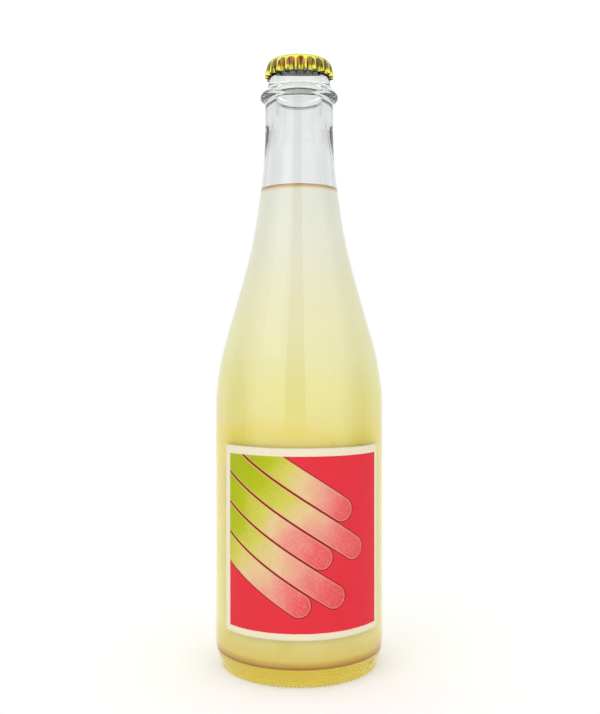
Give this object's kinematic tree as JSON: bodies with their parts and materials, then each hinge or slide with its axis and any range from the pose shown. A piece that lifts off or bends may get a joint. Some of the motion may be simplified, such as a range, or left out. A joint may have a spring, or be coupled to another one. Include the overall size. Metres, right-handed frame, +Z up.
{
  "type": "capped glass bottle of drink",
  "caption": "Capped clear glass bottle of pale cloudy drink, with a crimped gold crown cap, a wire-ring collar, a long sloping shoulder and a square paper front label.",
  "frame": {"origin": "Centre of the bottle's base, on the surface it stands on.", "axes": "+Z is up along the bottle's axis to the cap. -Y is the front, where the label is. +X is to the right as the label is read."},
  "size_m": [0.082, 0.0824, 0.2954],
  "materials": {
    "clear_glass": "polished, clear",
    "cloudy_drink": "cloudy, pale yellow",
    "gold_lacquered_steel": "glossy yellow-gold lacquer over tinplate",
    "liner_plastic": "soft, matte",
    "printed_paper": "uncoated paper, printed red with a cream border"
  },
  "bodies": {
    "root": {"glass_bottle": "clear_glass", "drink": "cloudy_drink", "crown_cap": "gold_lacquered_steel", "cap_liner": "liner_plastic", "front_label": "printed_paper"}
  },
  "joints": []
}
